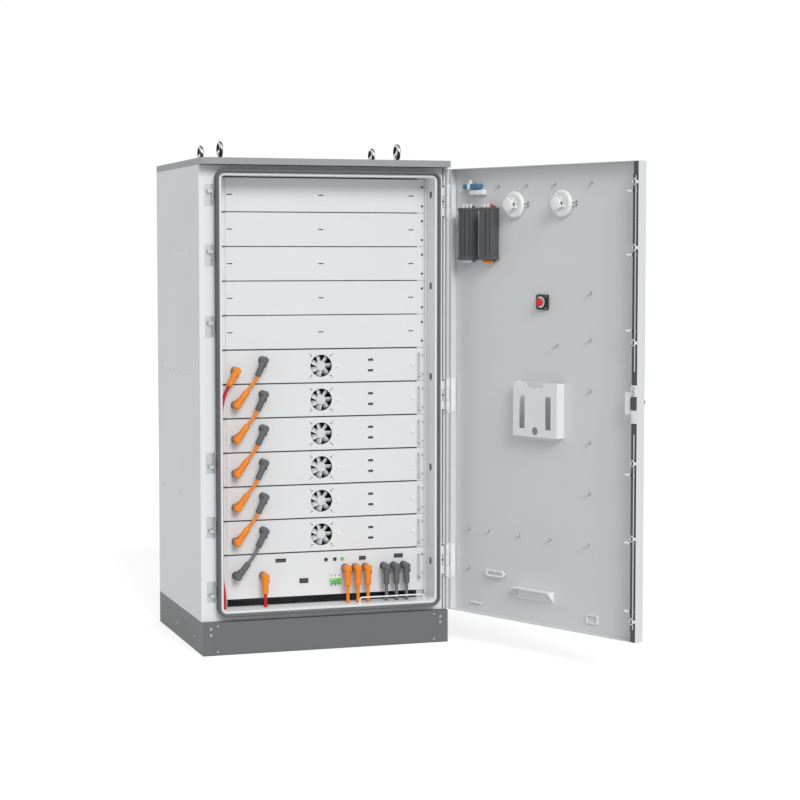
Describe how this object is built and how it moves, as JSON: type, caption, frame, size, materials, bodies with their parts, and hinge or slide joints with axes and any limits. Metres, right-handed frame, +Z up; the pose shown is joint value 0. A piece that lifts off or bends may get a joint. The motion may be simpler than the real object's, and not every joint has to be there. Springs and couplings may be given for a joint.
{
  "type": "battery rack cabinet",
  "caption": "Floor-standing steel battery cabinet on a plinth, with its swing door open on stacked rack batteries, plug-in links and a control box.",
  "frame": {"origin": "centre of the four floor anchor holes, on the floor under the middle of the body", "axes": "+Z up; +X to the right seen from the front; +Y into the cabinet, so that the front faces -Y"},
  "size_m": [1.5331, 1.8052, 2.0799],
  "materials": {
    "cabinet_paint": "fine textured powder coat, light grey",
    "door_paint": "fine textured powder coat, light grey",
    "plinth_paint": "textured powder coat, dark grey",
    "roof_paint": "textured powder coat, mid grey",
    "panel_paint": "smooth powder coat, pale grey",
    "zinc_steel": "bright zinc plate",
    "chrome_steel": "polished plate",
    "white_metal": "gloss white coat",
    "dark_metal": "black passivated",
    "seal_rubber": "matt EPDM",
    "orange_plastic": "moulded nylon",
    "grey_plastic": "moulded nylon",
    "orange_jacket": "silicone jacket",
    "grey_jacket": "silicone jacket",
    "red_jacket": "silicone jacket",
    "white_plastic": "moulded",
    "fan_plastic": "moulded",
    "black_plastic": "moulded",
    "device_grey": "sheet housing",
    "green_plastic": "moulded",
    "red_plastic": "moulded",
    "blue_plastic": "moulded",
    "cell_wrap": "wrapped cell stack"
  },
  "bodies": {
    "cabinet": {"blank_panels": "panel_paint", "breaker_body": "white_plastic", "cable_bar": "white_metal", "casing_screws": "zinc_steel", "control_box_case": "panel_paint", "data_ports": "black_plastic", "door_seal": "seal_rubber", "fan_frames": "fan_plastic", "floor_couplers": "grey_plastic", "floor_plate": "zinc_steel", "front_frame": "cabinet_paint", "grey_cables": "grey_jacket", "grey_plugs": "grey_plastic", "hinge_frame_leaves": "chrome_steel", "lifting_eye_bolts": "zinc_steel", "lock_keepers": "zinc_steel", "module_cases": "zinc_steel", "module_cell_blocks": "cell_wrap", "module_earth_caps": "white_plastic", "module_front_plates": "panel_paint", "module_handles": "panel_paint", "module_status_lights": "white_plastic", "orange_cables": "orange_jacket", "orange_plugs": "orange_plastic", "plinth_cable_entry_plates": "plinth_paint", "plinth_corner_posts": "plinth_paint", "plinth_cover_plates": "plinth_paint", "rack_posts_and_rails": "zinc_steel", "rack_runners": "zinc_steel", "rack_screws": "zinc_steel", "rear_wall": "cabinet_paint", "red_cable": "red_jacket", "roof_canopy": "roof_paint", "side_wall_left": "cabinet_paint", "side_wall_right": "cabinet_paint", "top_plate": "zinc_steel"},
    "door": {"door_pan": "door_paint", "hinge_door_leaves": "white_metal", "lock_case_and_rod_guides": "chrome_steel", "handle_rosette": "dark_metal", "gateway_boxes": "device_grey", "smoke_detectors": "white_plastic", "document_pocket": "cabinet_paint", "emergency_stop_base": "dark_metal", "door_switch": "blue_plastic", "door_brackets": "cabinet_paint"},
    "lock_lever": {"swing_handle": "dark_metal"},
    "upper_rod": {"lock_rod_upper": "dark_metal"},
    "lower_rod": {"lock_rod_lower": "dark_metal"},
    "stop_button": {"emergency_stop_button": "red_plastic"},
    "left_button": {"control_button_left": "black_plastic"},
    "right_button": {"control_button_right": "black_plastic"},
    "start_button": {"power_button": "green_plastic"},
    "breaker_lever": {"breaker_toggle": "green_plastic"},
    "fan_1": {"fan_impeller_1": "fan_plastic"},
    "fan_2": {"fan_impeller_2": "fan_plastic"},
    "fan_3": {"fan_impeller_3": "fan_plastic"},
    "fan_4": {"fan_impeller_4": "fan_plastic"},
    "fan_5": {"fan_impeller_5": "fan_plastic"},
    "fan_6": {"fan_impeller_6": "fan_plastic"}
  },
  "joints": [
    {"name": "door_hinge", "type": "hinge", "parent": "cabinet", "child": "door", "pos_m": [0.525, -0.425, 1.036], "axis": [0, 0, 1], "range_deg": [-113.43, 16.5]},
    {"name": "lock_lever_turn", "type": "hinge", "parent": "door", "child": "lock_lever", "pos_m": [0.96482, -1.32699, 1.052], "axis": [0.9175, 0.3976, 0], "range_deg": [-90, 0]},
    {"name": "upper_rod_slide", "type": "slide", "parent": "door", "child": "upper_rod", "axis": [0, 0, 1], "range_m": [0, 0.014]},
    {"name": "lower_rod_slide", "type": "slide", "parent": "door", "child": "lower_rod", "axis": [0, 0, -1], "range_m": [0, 0.014]},
    {"name": "stop_press", "type": "slide", "parent": "door", "child": "stop_button", "axis": [0.9175, 0.3976, 0], "range_m": [0, 0.004], "stiffness_N_per_m": 400},
    {"name": "left_button_press", "type": "slide", "parent": "cabinet", "child": "left_button", "axis": [0, 1, 0], "range_m": [0, 0.0025], "stiffness_N_per_m": 200},
    {"name": "right_button_press", "type": "slide", "parent": "cabinet", "child": "right_button", "axis": [0, 1, 0], "range_m": [0, 0.0025], "stiffness_N_per_m": 200},
    {"name": "start_button_press", "type": "slide", "parent": "cabinet", "child": "start_button", "axis": [0, 1, 0], "range_m": [0, 0.0025], "stiffness_N_per_m": 200},
    {"name": "breaker_throw", "type": "hinge", "parent": "cabinet", "child": "breaker_lever", "pos_m": [0.0595, -0.347, 0.269], "axis": [1, 0, 0], "range_deg": [-70, 0]},
    {"name": "fan_1_spin", "type": "hinge", "parent": "cabinet", "child": "fan_1", "pos_m": [0.0017, -0.331, 1.15971], "axis": [0, -1, 0], "continuous": true},
    {"name": "fan_2_spin", "type": "hinge", "parent": "cabinet", "child": "fan_2", "pos_m": [0.0017, -0.331, 1.02013], "axis": [0, -1, 0], "continuous": true},
    {"name": "fan_3_spin", "type": "hinge", "parent": "cabinet", "child": "fan_3", "pos_m": [0.0017, -0.331, 0.88055], "axis": [0, -1, 0], "continuous": true},
    {"name": "fan_4_spin", "type": "hinge", "parent": "cabinet", "child": "fan_4", "pos_m": [0.0017, -0.331, 0.74097], "axis": [0, -1, 0], "continuous": true},
    {"name": "fan_5_spin", "type": "hinge", "parent": "cabinet", "child": "fan_5", "pos_m": [0.0017, -0.331, 0.60139], "axis": [0, -1, 0], "continuous": true},
    {"name": "fan_6_spin", "type": "hinge", "parent": "cabinet", "child": "fan_6", "pos_m": [0.0017, -0.331, 0.46181], "axis": [0, -1, 0], "continuous": true}
  ],
  "couplings": [
    {"joint": "upper_rod_slide", "follows": "lock_lever_turn", "m_per_rad": -0.0089125},
    {"joint": "lower_rod_slide", "follows": "lock_lever_turn", "m_per_rad": -0.0089125}
  ]
}
